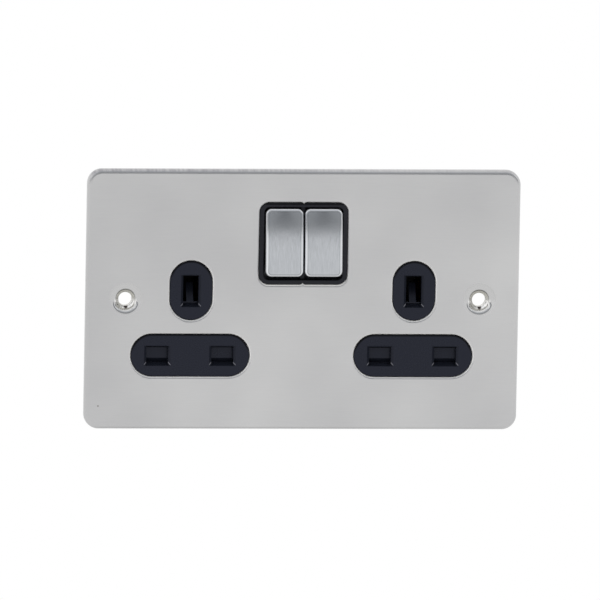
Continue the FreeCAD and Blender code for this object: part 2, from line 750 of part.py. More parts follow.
def output_strip(side):
    """Strip from a switch's cradle to the line clip of its outlet."""
    switch_x = side * rocker_x
    clip_x = side * outlet_offset + pin_pitch / 2
    half = strip_width / 2
    ear_half = cradle_ear_half_height
    base_half = cradle_half + strip_sheet
    low_x, high_x = sorted([switch_x, clip_x])
    pieces = [
        box(switch_x - base_half, switch_x + base_half, rear_strip_y, strip_back_y,
            line_run_z - half, switch_z + ear_half),
        box(low_x - half, high_x + half, rear_strip_y, strip_back_y, line_run_z - half, line_run_z + half),
        box(clip_x - half, clip_x + half, rear_strip_y, strip_back_y, line_pin_z, line_run_z + half),
    ]
    for ear in SIDES.values():
        near, far = sorted([switch_x + ear * cradle_half, switch_x + ear * base_half])
        pieces.append(box(near, far, lever_axis_y - cradle_ear_front, strip_back_y,
                          switch_z - ear_half, switch_z + ear_half))
    strip = join(pieces + pin_clip(clip_x, line_pin_z))
    return strip.cut(rod_x(lever_pin_radius + bearing_clearance, switch_x - base_half,
                           switch_x + base_half, lever_axis_y, switch_z))


def neutral_bar():
    """Strip under the outlets with both neutral clips and the tab to its terminal."""
    half = strip_width / 2
    clips = [side * outlet_offset - pin_pitch / 2 for side in SIDES.values()]
    pieces = [box(clips[0] - half, clips[1] + half, rear_strip_y, strip_back_y,
                  neutral_run_z - half, neutral_run_z + half)]
    for x in clips:
        pieces.append(box(x - half, x + half, rear_strip_y, strip_back_y, neutral_run_z - half, line_pin_z))
        pieces += pin_clip(x, line_pin_z)
    tab = terminal_tab_width / 2
    pieces.append(box(-terminal_pitch - tab, -terminal_pitch + tab, rear_strip_y, strip_back_y,
                      neutral_run_z - half, terminal_z + terminal_height / 2))
    return join(pieces).cut(terminal_screw_hole(-terminal_pitch))


def earth_clip(x):
    """Pair of leaves folded back from the edges of the earth bar's window."""
    root_half = earth_clip_root_half()
    root_y = earth_strip_y + strip_sheet / 2
    path = [(root_y, root_half), (earth_clip_pinch_y, clip_pinch_half),
            (earth_clip_end_y, earth_clip_end_half)]
    low = earth_pin_z - earth_bar_width / 2
    pieces = []
    for side in SIDES.values():
        section = [V(x + side * out, y, low) for y, out in leaf(path, clip_sheet, 1)]
        pieces.append(prism(section, V(0, 0, earth_bar_width)))
    return pieces


def earth_clip_root_half():
    return pin_thick / 2 + earth_window_margin


def earth_bar():
    """Bar behind the front wall that joins both earth contacts, with a tab to the terminal."""
    half = earth_bar_width / 2
    window_half = earth_pin_height / 2 + earth_window_margin
    plate_half_width = earth_clip_root_half() + earth_plate_margin
    foot_x = base_inner_half - strap_leg_inset
    back_y = terminal_front_y
    tab = terminal_tab_width / 2
    pieces = [
        box(-foot_x, foot_x, earth_strip_y, back_y, earth_pin_z - half, earth_pin_z + half),
        box(-tab, tab, earth_strip_y, back_y, terminal_z - terminal_height / 2, earth_pin_z),
    ]
    windows = []
    for side in SIDES.values():
        x = side * outlet_offset
        pieces.append(box(x - plate_half_width, x + plate_half_width, earth_strip_y, back_y,
                          earth_pin_z - earth_plate_half_height, earth_pin_z + earth_plate_half_height))
        windows.append(box(x - earth_clip_root_half(), x + earth_clip_root_half(), earth_strip_y, back_y,
                           earth_pin_z - window_half, earth_pin_z + window_half))
    bar = join(pieces).cut(windows)
    for side in SIDES.values():
        bar = bar.cut(rod_y(strap_rivet_radius, earth_strip_y, back_y, side * strap_rivet_x(), earth_pin_z))
    clips = earth_clip(-outlet_offset) + earth_clip(outlet_offset)
    return join([bar] + clips)


def strap_rivet_x():
    return base_inner_half - strap_leg_inset - strap_foot / 2


def earth_strap(side):
    """Strap from a fixing bush, through the base's side wall, to the earth bar."""
    half = strap_width / 2
    lug_x = fixing_centres / 2
    outer_x = base_inner_half - strap_leg_inset
    front_y = lug_back_y
    foot_top = earth_pin_z + half
    foot_back_y = earth_strip_y
    pieces = [
        rod_y(strap_end_radius, front_y, front_y + strap_sheet, lug_x, 0),
        box(outer_x - strap_sheet, lug_x, front_y, front_y + strap_sheet, -half, half),
        box(outer_x - strap_sheet, outer_x, front_y, foot_back_y, -half, half),
        box(outer_x - strap_foot, outer_x, foot_back_y - strap_sheet, foot_back_y, -half, foot_top),
    ]
    strap = join(pieces).cut(rod_y(bush_outer_radius, front_y, front_y + strap_sheet, lug_x, 0))
    strap = strap.cut(rod_y(strap_rivet_radius, front_y, foot_back_y, strap_rivet_x(), earth_pin_z))
    return strap if side > 0 else strap.mirror(V(0, 0, 0), V(1, 0, 0))


def strap_rivets():
    rivets = []
    for side in SIDES.values():
        x = side * strap_rivet_x()
        front = earth_strip_y - strap_sheet
        shank = rod_y(strap_rivet_radius, front, terminal_front_y, x, earth_pin_z)
        head = rod_y(strap_rivet_head_radius, front - strap_rivet_head_thick, front, x, earth_pin_z)
        rivets.append(join([shank, head]))
    return Part.makeCompound(rivets)


def fixing_bushes():
    """Tubes pressed into the lugs, flared over the straps; the fixing screws pass through them."""
    bushes = []
    for side in SIDES.values():
        x = side * fixing_centres / 2
        start = plate_front_y + dimple_depth
        flare = lug_back_y + strap_sheet
        tube = rod_y(bush_outer_radius, start, flare, x, 0)
        lip = rod_y(bush_flare_radius, flare, flare + bush_flare_thick, x, 0)
        bore = rod_y(fixing_hole_radius, start, flare + bush_flare_thick, x, 0)
        bushes.append(join([tube, lip]).cut(bore))
    return Part.makeCompound(bushes)


def terminal_block(x):
    half = terminal_width / 2
    low = terminal_z - terminal_height / 2
    high = terminal_z + terminal_height / 2
    block = box(x - half, x + half, terminal_front_y, terminal_back_y, low, high)
    return block.cut([rod_z(cable_bore_radius, low, high, x, cable_bore_y), terminal_screw_hole(x)])


def terminal_screws():
    screws = []
    for place in (-1, 0, 1):
        x = place * terminal_pitch
        head = slotted_head(terminal_head_radius, terminal_head_thick, terminal_head_y, x, terminal_z,
                            terminal_slot_width, terminal_slot_depth)
        tip_y = cable_bore_y + cable_bore_radius
        screws.append(join([rod_y(terminal_screw_radius, tip_y, terminal_head_y, x, terminal_z), head]))
    return Part.makeCompound(screws)


def shutter(side):
    """Sliding shutter: blades over line and neutral, and a ramp that the earth pin pushes down."""
    x = side * outlet_offset
    plate_back_y = shutter_front_y + shutter_plate_thick
    ramp = prism([V(x - ramp_width / 2, shutter_front_y, ramp_foot_z),
                  V(x - ramp_width / 2, shutter_back_y, ramp_top_z),
                  V(x - ramp_width / 2, shutter_back_y, ramp_foot_z)], V(ramp_width, 0, 0))
    stem = box(x - stem_half_width, x + stem_half_width, shutter_front_y, shutter_back_y,
               blade_top_z, ramp_foot_z)
    blades = prism([V(x - blade_half, shutter_front_y, blade_top_z),
                    V(x - blade_half, plate_back_y, blade_top_z),
                    V(x - blade_half, plate_back_y, blade_bottom_z),
                    V(x - blade_half, shutter_front_y + blade_foot_depth, blade_bottom_z),
                    V(x - blade_half, shutter_front_y, blade_bottom_z + blade_foot_height)],
                   V(2 * blade_half, 0, 0))
    window = box(x - stem_window_half, x + stem_window_half, shutter_front_y, shutter_back_y,
                 peg_top_z - peg_height - shutter_gap, stem_window_top_z)
    return join([ramp, stem, blades]).cut(window)


def shutter_spring(side):
    return spring(V(side * outlet_offset, spring_y, peg_top_z), V(0, 0, 1), shutter_spring_radius,
                  shutter_spring_wire, stem_window_top_z - peg_top_z, shutter_spring_turns)


def core_pockets():
    """Pockets moulded into the rear between ribs, clear of the screws and the earth pins' wells."""
    margin = base_wall + core_rib
    well = earth_pin_height / 2 + earth_window_margin + core_rib
    clear = case_screw_head_radius + core_rib
    upper = (core_columns, core_rib / 2, corner_screw_x - clear, earth_pin_z + well, base_top_z - margin)
    lower = (core_lower_columns, middle_screw_x + clear, base_width / 2 - margin,
             base_bottom_z + margin, earth_pin_z - well)
    pockets = []
    for columns, near, far, low, high in (upper, lower):
        pitch = (far - near + core_rib) / columns
        for column in range(columns):
            middle = near + (pitch - core_rib) / 2 + column * pitch
            for side in SIDES.values():
                pockets.append(rounded_block(side * middle, (low + high) / 2, pitch - core_rib, high - low,
                                             core_corner_radius, strip_back_y + core_floor, base_back_y))
    return pockets


def rear_moulding():
    height = base_top_z - base_bottom_z
    middle = (base_top_z + base_bottom_z) / 2
    shell = rounded_block(0, middle, base_width, height, base_corner_radius, base_front_y, base_back_y)
    rear = edges_at_y(shell, base_back_y, base_width, base_width)
    shell = shell.makeFillet(base_back_fillet, rear)
    hollow = rounded_block(0, middle, 2 * base_inner_half, height - 2 * base_wall,
                           base_corner_radius - base_wall, base_front_y, strip_back_y)
    pieces = [shell.cut(hollow)]
    cutters = []
    for x, z in case_screw_places():
        pieces.append(rod_y(rear_post_radius, front_boss_back_y, strip_back_y, x, z))
        head_y = base_back_y - case_head_recess - case_screw_head_thick
        cutters.append(rod_y(case_screw_head_radius + screw_clearance, head_y, base_back_y, x, z))
        cutters.append(rod_y(case_screw_radius + screw_clearance, front_boss_back_y, base_back_y, x, z))
    for side in SIDES.values():
        post_x = side * bar_post_x
        pieces.append(rod_y(rear_post_radius, terminal_front_y, strip_back_y, post_x, earth_pin_z))
        x = side * terminal_pitch / 2
        half = partition_thick / 2
        pieces.append(box(x - half, x + half, terminal_front_y, strip_back_y,
                          neutral_run_z + strip_width, terminal_z + terminal_height / 2))
        strap_half = strap_width / 2 + seat_clearance
        low, high = sorted([side * base_inner_half, side * base_width / 2])
        cutters.append(box(low, high, base_front_y, lug_back_y + strap_sheet + seat_clearance,
                           -strap_half, strap_half))
        cutters.append(rod_y(lug_radius + seat_clearance, base_front_y, lug_back_y,
                             side * fixing_centres / 2, 0))
        pin_half = earth_pin_height / 2 + earth_window_margin
        across = earth_clip_end_half + clip_sheet + seat_clearance
        outlet_x = side * outlet_offset
        cutters.append(box(outlet_x - across, outlet_x + across, strip_back_y, base_back_y - base_wall,
                           earth_pin_z - pin_half, earth_pin_z + pin_half))
    for place in (-1, 0, 1):
        x = place * terminal_pitch
        cutters.append(rod_y(terminal_access_radius, strip_back_y, base_back_y, x, terminal_z))
        cutters.append(cone_y(terminal_access_radius, terminal_access_radius + way_chamfer,
                              base_back_y - way_chamfer, base_back_y, x, terminal_z))
        cutters.append(rod_z(cable_entry_radius, base_bottom_z, base_bottom_z + base_wall, x, cable_bore_y))
        cutters.append(Part.makeCone(cable_entry_radius + way_chamfer, cable_entry_radius, way_chamfer,
                                     V(x, cable_bore_y, base_bottom_z), V(0, 0, 1)))
    return join(pieces).cut(cutters + core_pockets()).removeSplitter()


def case_screws():
    screws = []
    for x, z in case_screw_places():
        head_y = base_back_y - case_head_recess - case_screw_head_thick
        head = slotted_head(case_screw_head_radius, case_screw_head_thick, head_y, x, z,
                            case_screw_slot_width, case_screw_slot_depth)
        shank = rod_y(case_screw_radius, front_boss_back_y - case_screw_bite, head_y, x, z)
        screws.append(join([shank, head]))
    return Part.makeCompound(screws)


def save(name, shape):
    if not shape.isValid():
        print("not valid:", name)
    print(name, len(shape.Solids), round(shape.Volume, 1))
    shape.exportStep("parts/" + name + ".step")


os.makedirs("parts", exist_ok=True)
save("front_plate", front_plate())
save("front_moulding", front_moulding())
save("switch_surround", switch_surround())
save("rear_moulding", rear_moulding())
save("fixing_bushes", fixing_bushes())
save("neutral_bar", neutral_bar())
save("earth_bar", earth_bar())
save("strap_rivets", strap_rivets())
save("supply_bar", supply_bar())
save("terminal_screws", terminal_screws())
save("case_screws", case_screws())
for index, label in enumerate(("neutral", "earth", "line")):
    save("terminal_" + label, terminal_block((index - 1) * terminal_pitch))
for label, side in SIDES.items():
    save("rocker_cap_" + label, rocker_cap(side))
    save("rocker_body_" + label, rocker_body(side))
    save("plunger_" + label, plunger(side))
    save("plunger_spring_" + label, plunger_spring(side))
    save("contact_lever_" + label, contact_lever(side))
    save("fixed_contact_" + label, fixed_contact(side))
    save("output_strip_" + label, output_strip(side))
    save("earth_strap_" + label, earth_strap(side))
    save("shutter_" + label, shutter(side))
    save("shutter_spring_" + label, shutter_spring(side))
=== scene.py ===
import math

import bpy
from mathutils import Matrix, Vector


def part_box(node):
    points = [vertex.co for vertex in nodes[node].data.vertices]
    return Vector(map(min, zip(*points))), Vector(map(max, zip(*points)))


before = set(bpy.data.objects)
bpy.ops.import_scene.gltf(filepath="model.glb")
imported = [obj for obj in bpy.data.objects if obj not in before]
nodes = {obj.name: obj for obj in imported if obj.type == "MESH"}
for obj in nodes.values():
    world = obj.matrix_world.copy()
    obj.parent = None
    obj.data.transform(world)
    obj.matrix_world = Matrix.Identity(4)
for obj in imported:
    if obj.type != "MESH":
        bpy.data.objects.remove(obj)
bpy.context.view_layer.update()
mm = 0.001

# Most of a noise lies between the first two values, and most of a sum of two between the others.
noise_low = 0.3
noise_high = 0.7
sum_low = 0.7
sum_high = 1.3


def linear(hex_colour):
    """Linear colour of an sRGB hex value."""
    parts = [int(hex_colour[i:i + 2], 16) / 255 for i in (1, 3, 5)]
    return [c / 12.92 if c <= 0.04045 else ((c + 0.055) / 1.055) ** 2.4 for c in parts] + [1.0]


def add(tree, kind, inputs=None, **settings):
    """Adds a node. An input takes a value, or the output of another node to link."""
    made = tree.nodes.new(kind)
    for name, value in settings.items():
        setattr(made, name, value)
    for name, value in (inputs or {}).items():
        if isinstance(value, bpy.types.NodeSocket):
            tree.links.new(value, made.inputs[name])
        else:
            made.inputs[name].default_value = value
    return made


def place_in_mm(tree):
    """Position on the object in millimetres, which the patterns follow."""
    place = add(tree, "ShaderNodeTexCoord").outputs["Object"]
    scaled = add(tree, "ShaderNodeMapping", {"Vector": place, "Scale": (1 / mm, 1 / mm, 1 / mm)})
    return scaled.outputs["Vector"]


def new_material(name, values):
    """New material with its surface shader set."""
    made = bpy.data.materials.new(name)
    made.use_nodes = True
    tree = made.node_tree
    surface = tree.nodes["Principled BSDF"]
    for socket, value in values.items():
        surface.inputs[socket].default_value = value
    return made, tree, surface, place_in_mm(tree)


def moulded(name, colour, fleck, roughness, specular, tint, grain, depth, corner):
    """Moulded black plastic: fine grain in gloss and surface, broad patches of gloss, soft corners.

    The grain's size and depth, the patches and the corners' radius are in millimetres."""
    patch = 14.0
    fleck_from = 0.55
    fleck_full = 0.8
    gloss_spread = 0.06
    made, tree, surface, place = new_material(name, {"Specular IOR Level": specular,
                                                     "Specular Tint": linear(tint)})
    fine = add(tree, "ShaderNodeTexNoise", {"Vector": place, "Scale": 1 / grain, "Detail": 3.0})
    slow = add(tree, "ShaderNodeTexNoise", {"Vector": place, "Scale": 1 / patch, "Detail": 2.0})
    flecked = add(tree, "ShaderNodeMapRange", {"Value": fine.outputs["Fac"],
                                               "From Min": fleck_from, "From Max": fleck_full})
    tone = add(tree, "ShaderNodeMix", {"Factor": flecked.outputs["Result"], 6: linear(colour),
                                       7: linear(fleck)}, data_type="RGBA")
    tree.links.new(tone.outputs[2], surface.inputs["Base Color"])
    mixed = add(tree, "ShaderNodeMath", {0: slow.outputs["Fac"], 1: fine.outputs["Fac"]},
                operation="ADD")
    gloss = add(tree, "ShaderNodeMapRange", {"Value": mixed.outputs["Value"],
                                             "From Min": sum_low, "From Max": sum_high,
                                             "To Min": roughness - gloss_spread,
                                             "To Max": roughness + gloss_spread})
    tree.links.new(gloss.outputs["Result"], surface.inputs["Roughness"])
    bump = add(tree, "ShaderNodeBump", {"Height": fine.outputs["Fac"], "Strength": 0.5,
                                        "Distance": depth * mm})
    edge = add(tree, "ShaderNodeBevel", {"Radius": corner * mm}, samples=6)
    tree.links.new(edge.outputs["Normal"], bump.inputs["Normal"])
    tree.links.new(bump.outputs["Normal"], surface.inputs["Normal"])
    return made


def dress(material, *names):
    """Puts one material on whole CAD nodes."""
    for name in names:
        for slot in nodes[name].material_slots:
            slot.material = material


# Rear moulding: the body of the socket, which sits in the wall box and carries all the metalwork.
# Black phenolic moulding compound, pressed hot in a steel mould. The mould's spark-eroded surface
# leaves a fine dull grain of about 0.3 mm, and the powder leaves a few paler flecks.
rear_phenolic = moulded("moulded_phenolic_black", "#141417", "#1f1f22", roughness=0.5,
                        specular=0.35, tint="#f4f4f8", grain=0.3, depth=0.03, corner=0.15)
dress(rear_phenolic, "rear_moulding")


def rolled(name, colour, stain, roughness, line, lie=(1.0, 1.0, 1.0)):
    """Metal strip or bar with soft stains and fine rolling or drawing lines.

    Line width and depth and stain size are in millimetres. The lines run along the axis that lie scales
    down."""
    stain_size = 5.0
    stain_from = 0.45
    stain_full = 0.75
    stain_share = 0.6
    gloss_spread = 0.07
    line_depth = 0.02
    made, tree, surface, place = new_material(name, {"Metallic": 1.0, "Anisotropic": 0.3})
    drawn = add(tree, "ShaderNodeMapping", {"Vector": place, "Scale": lie})
    lines = add(tree, "ShaderNodeTexNoise", {"Vector": drawn.outputs["Vector"], "Scale": 1 / line,
                                             "Detail": 2.0})
    stains = add(tree, "ShaderNodeTexNoise", {"Vector": place, "Scale": 1 / stain_size,
                                              "Detail": 5.0, "Roughness": 0.6})
    stained = add(tree, "ShaderNodeMapRange", {"Value": stains.outputs["Fac"],
                                               "From Min": stain_from, "From Max": stain_full,
                                               "To Max": stain_share})
    tone = add(tree, "ShaderNodeMix", {"Factor": stained.outputs["Result"], 6: linear(colour),
                                       7: linear(stain)}, data_type="RGBA")
    tree.links.new(tone.outputs[2], surface.inputs["Base Color"])
    mixed = add(tree, "ShaderNodeMath", {0: lines.outputs["Fac"], 1: stains.outputs["Fac"]},
                operation="ADD")
    gloss = add(tree, "ShaderNodeMapRange", {"Value": mixed.outputs["Value"],
                                             "From Min": sum_low, "From Max": sum_high,
                                             "To Min": roughness - gloss_spread,
                                             "To Max": roughness + gloss_spread})
    tree.links.new(gloss.outputs["Result"], surface.inputs["Roughness"])
    bump = add(tree, "ShaderNodeBump", {"Height": lines.outputs["Fac"], "Strength": 0.3,
                                        "Distance": line_depth * mm})
    tree.links.new(bump.outputs["Normal"], surface.inputs["Normal"])
    return made


# Current-carrying strips: supply bar, both output strips and the neutral and earth bars, with
# their clips. Half-hard brass strip, cut and bent in one stroke, laid in the rear moulding.
# Rolling leaves faint lines along the strip, and handling leaves soft brown stains.
strip_brass = rolled("rolled_brass_strip", "#c9a55c", "#8f6c35", roughness=0.32, line=0.25,
                     lie=(0.1, 1.0, 1.0))
dress(strip_brass, "supply_bar", "output_strip_left", "output_strip_right", "neutral_bar",
      "earth_bar")

# Terminal blocks: three lengths of drawn brass bar, drilled for the cable and tapped for a screw,
# riveted to the strips. Their sawn and drilled faces are duller than strip.
terminal_brass = rolled("drawn_brass_bar", "#c4a058", "#9a7840", roughness=0.4, line=0.35,
                        lie=(1.0, 1.0, 0.15))
dress(terminal_brass, "terminal_neutral", "terminal_earth", "terminal_line")

# Switch contacts: rocking levers of brass with a button on the upper end, which close on two rivets
# of silver alloy in the supply bar. The spring plungers in the rockers are turned from brass rod.
dress(strip_brass, "contact_lever_left", "contact_lever_right")
dress(terminal_brass, "plunger_left", "plunger_right")
contact_silver = rolled("silver_cadmium_contact", "#d9d6cf", "#a9a49a", roughness=0.3, line=0.2)
dress(contact_silver, "fixed_contact_left", "fixed_contact_right")

# Springs of the shutters and plungers: hard-drawn stainless wire, coiled cold, left as drawn, so
# the wire is bright with fine lines.
spring_wire = rolled("drawn_stainless_wire", "#b9b9b6", "#8d8c88", roughness=0.28, line=0.1)
dress(spring_wire, "plunger_spring_left", "plunger_spring_right", "shutter_spring_left",
      "shutter_spring_right")

# Earth straps, rivets and screws: mild steel, pressed or headed, zinc plated and passivated. The
# plating is pale grey with a slight blue cast, and clouds where it was handled.
zinc_steel = rolled("zinc_plated_steel", "#b7bcc2", "#8f9499", roughness=0.38, line=0.4)
dress(zinc_steel, "earth_strap_left", "earth_strap_right", "strap_rivets", "terminal_screws",
      "case_screws")

# Shutters: two sliding mouldings behind the front, which close the line and neutral apertures.
# Black nylon, injection moulded, with a soft sheen.
shutter_nylon = moulded("moulded_nylon_black", "#1c1f28", "#21242e", roughness=0.24,
                        specular=0.24, tint="#e4e8ff", grain=0.4, depth=0.005, corner=0.12)
dress(shutter_nylon, "shutter_left", "shutter_right")

# Front moulding: carries the pads with the pin apertures, which stand in the plate's openings.
# Black urea-formaldehyde, compression moulded. A satin surface with an even dust-fine grain.
front_urea = moulded("moulded_urea_black", "#1b1e27", "#20242d", roughness=0.28, specular=0.24,
                     tint="#e6e8ff", grain=0.3, depth=0.005, corner=0.15)


def lay_over(tree, target, factor, value):
    """Mixes a colour or a number over what a socket has, by a factor."""
    under = target.links[0].from_socket
    if target.type == "RGBA":
        mixed = add(tree, "ShaderNodeMix", {"Factor": factor, 6: under, 7: value},
                    data_type="RGBA").outputs[2]
    else:
        mixed = add(tree, "ShaderNodeMix", {"Factor": factor, 2: under, 3: value}).outputs[0]
    tree.links.new(mixed, target)


def shade_under_lip(tree, factor):
    """Shade under the plate's lip: dark, and leaning back, so that it mirrors the dark above."""
    lean_back = 0.25
    surface = tree.nodes["Principled BSDF"]
    bump = surface.inputs["Normal"].links[0].from_node
    plain = bump.inputs["Normal"].links[0].from_socket
    lean = add(tree, "ShaderNodeMath", {0: factor, 1: lean_back}, operation="MULTIPLY")
    lean = add(tree, "ShaderNodeCombineXYZ", {"Z": lean.outputs["Value"]})
    leaned = add(tree, "ShaderNodeVectorMath", {0: plain, 1: lean.outputs["Vector"]},
                 operation="ADD")
    leaned = add(tree, "ShaderNodeVectorMath", {0: leaned.outputs["Vector"]},
                 operation="NORMALIZE")
    tree.links.new(leaned.outputs["Vector"], bump.inputs["Normal"])
    lay_over(tree, surface.inputs["Base Color"], factor, linear("#060607"))


# The pads' upper edges lie in the shade of the plate. The pads have round ends, and the distance
# from a pad's middle line finds its edge. The line and neutral pins share the lower pad.
outlet_offset = 38.0
pad_radius = 7.2
shade_from = pad_radius - 0.8
shade_full = pad_radius - 0.45
line_pad_z = -19.1
line_pad_half = 13.0
earth_pad_top_z = 6.0
between_pads_z = -9.5
rise_from = 0.5
rise_full = 3.5
tree = front_urea.node_tree
surface = tree.nodes["Principled BSDF"]
spot = add(tree, "ShaderNodeSeparateXYZ", {"Vector": place_in_mm(tree)})
height = spot.outputs["Z"]
aside = add(tree, "ShaderNodeMath", {0: spot.outputs["X"]}, operation="ABSOLUTE")
aside = add(tree, "ShaderNodeMath", {0: aside.outputs["Value"], 1: outlet_offset},
            operation="SUBTRACT")
aside = add(tree, "ShaderNodeMath", {0: aside.outputs["Value"]}, operation="ABSOLUTE")
aside = aside.outputs["Value"]
past_x = add(tree, "ShaderNodeMath", {0: aside, 1: line_pad_half}, operation="SUBTRACT")
past_x = add(tree, "ShaderNodeMath", {0: past_x.outputs["Value"], 1: 0.0}, operation="MAXIMUM")
past_z = add(tree, "ShaderNodeMath", {0: height, 1: line_pad_z}, operation="SUBTRACT")
line_arm = add(tree, "ShaderNodeCombineXYZ", {"X": past_x.outputs["Value"],
                                              "Z": past_z.outputs["Value"]})
past_z = add(tree, "ShaderNodeMath", {0: height, 1: earth_pad_top_z}, operation="SUBTRACT")
past_z = add(tree, "ShaderNodeMath", {0: past_z.outputs["Value"], 1: 0.0}, operation="MAXIMUM")
earth_arm = add(tree, "ShaderNodeCombineXYZ", {"X": aside, "Z": past_z.outputs["Value"]})
is_earth = add(tree, "ShaderNodeMath", {0: height, 1: between_pads_z}, operation="GREATER_THAN")
is_earth = is_earth.outputs["Value"]
arm = add(tree, "ShaderNodeMix", {"Factor": is_earth, 4: line_arm.outputs["Vector"],
                                  5: earth_arm.outputs["Vector"]}, data_type="VECTOR").outputs[1]
reach = add(tree, "ShaderNodeVectorMath", {0: arm}, operation="LENGTH").outputs["Value"]
edge = add(tree, "ShaderNodeMapRange", {"Value": reach, "From Min": shade_from,
                                        "From Max": shade_full})
rise = add(tree, "ShaderNodeSeparateXYZ", {"Vector": arm}).outputs["Z"]
rise = add(tree, "ShaderNodeMapRange", {"Value": rise, "From Min": rise_from,
                                        "From Max": rise_full})
edge = add(tree, "ShaderNodeMath", {0: edge.outputs["Result"], 1: rise.outputs["Result"]},
           operation="MULTIPLY")
shade_under_lip(tree, edge.outputs["Value"])

# Lead-in of each aperture, measured from its throat: X out to the sides, Y up and Z down. Its foot
# has a painted highlight along the mitre at each corner. Its top has painted shade by the throat
# and a painted paler tone towards the face.
pin_offset = 11.1
lead_in = 0.85
line_throat_half = 3.7
line_throat_top_z = -16.49
line_mitre_z = -21.6
earth_throat_half = 2.61
earth_throat_top_z = 7.8
earth_mitre_z = -1.5
mitre_half_width = 0.16
mitre_blend = 0.1
dark_top = 0.3
pale_top = 0.45
line_x = add(tree, "ShaderNodeMath", {0: aside, 1: pin_offset}, operation="SUBTRACT")
line_x = add(tree, "ShaderNodeMath", {0: line_x.outputs["Value"]}, operation="ABSOLUTE")
line_x = add(tree, "ShaderNodeMath", {0: line_x.outputs["Value"], 1: line_throat_half},
             operation="SUBTRACT")
line_up = add(tree, "ShaderNodeMath", {0: height, 1: line_throat_top_z}, operation="SUBTRACT")
line_down = add(tree, "ShaderNodeMath", {0: line_mitre_z, 1: height}, operation="SUBTRACT")
earth_x = add(tree, "ShaderNodeMath", {0: aside, 1: earth_throat_half}, operation="SUBTRACT")
earth_up = add(tree, "ShaderNodeMath", {0: height, 1: earth_throat_top_z}, operation="SUBTRACT")
earth_down = add(tree, "ShaderNodeMath", {0: earth_mitre_z, 1: height}, operation="SUBTRACT")
line_lead = add(tree, "ShaderNodeCombineXYZ", {"X": line_x.outputs["Value"],
                                               "Y": line_up.outputs["Value"],
                                               "Z": line_down.outputs["Value"]})
earth_lead = add(tree, "ShaderNodeCombineXYZ", {"X": earth_x.outputs["Value"],
                                                "Y": earth_up.outputs["Value"],
                                                "Z": earth_down.outputs["Value"]})
lead = add(tree, "ShaderNodeMix", {"Factor": is_earth, 4: line_lead.outputs["Vector"],
                                   5: earth_lead.outputs["Vector"]}, data_type="VECTOR")
lead = add(tree, "ShaderNodeSeparateXYZ", {"Vector": lead.outputs[1]}).outputs
across = add(tree, "ShaderNodeMath", {0: lead["X"], 1: lead["Z"]}, operation="SUBTRACT")
across = add(tree, "ShaderNodeMath", {0: across.outputs["Value"]}, operation="ABSOLUTE")
mitre_highlight = add(tree, "ShaderNodeMapRange", {"Value": across.outputs["Value"],
                                         "From Min": mitre_half_width + mitre_blend,
                                         "From Max": mitre_half_width})
begun = add(tree, "ShaderNodeMapRange", {"Value": lead["X"], "From Max": mitre_blend})
ended = add(tree, "ShaderNodeMapRange", {"Value": lead["X"], "From Min": lead_in,
                                         "From Max": lead_in - mitre_blend})
mitre_highlight = add(tree, "ShaderNodeMath", {0: mitre_highlight.outputs["Result"], 1: begun.outputs["Result"]},
            operation="MULTIPLY")
mitre_highlight = add(tree, "ShaderNodeMath", {0: mitre_highlight.outputs["Value"], 1: ended.outputs["Result"]},
            operation="MULTIPLY")
lead_top_shade = add(tree, "ShaderNodeMath", {0: lead["Y"], 1: lead["X"]}, operation="GREATER_THAN")
in_lead = add(tree, "ShaderNodeMath", {0: lead["Y"], 1: lead_in}, operation="LESS_THAN")
lead_top_shade = add(tree, "ShaderNodeMath", {0: lead_top_shade.outputs["Value"], 1: in_lead.outputs["Value"]},
             operation="MULTIPLY")
outer = add(tree, "ShaderNodeMapRange", {"Value": lead["Y"], "From Min": dark_top,
                                         "From Max": pale_top})
# Painted shade by the throat, turning to a painted paler tone towards the face.
tone = add(tree, "ShaderNodeMix", {"Factor": outer.outputs["Result"], 6: linear("#040405"),
                                   7: linear("#2c2f39")}, data_type="RGBA").outputs[2]
lay_over(tree, surface.inputs["Base Color"], lead_top_shade.outputs["Value"], tone)
# Painted highlight along the mitres at the foot.
lay_over(tree, surface.inputs["Base Color"], mitre_highlight.outputs["Value"], linear("#7e7e86"))
dress(front_urea, "front_moulding")

# Switch surround: a frame with a lobed edge and a mullion, trapped behind the plate. Black
# polycarbonate, injection moulded, a little glossier than the pads. Its top is in shade.
shade_from_z = 32.3
shade_full_z = 32.6
surround_polycarbonate = moulded("moulded_polycarbonate_black", "#15161b", "#1a1b20",
                                 roughness=0.26, specular=0.28, tint="#eeeffc", grain=0.35,
                                 depth=0.005, corner=0.12)
tree = surround_polycarbonate.node_tree
height = add(tree, "ShaderNodeSeparateXYZ", {"Vector": place_in_mm(tree)}).outputs["Z"]
band = add(tree, "ShaderNodeMapRange", {"Value": height, "From Min": shade_from_z,
                                        "From Max": shade_full_z})
shade_under_lip(tree, band.outputs["Result"])
dress(surround_polycarbonate, "switch_surround")


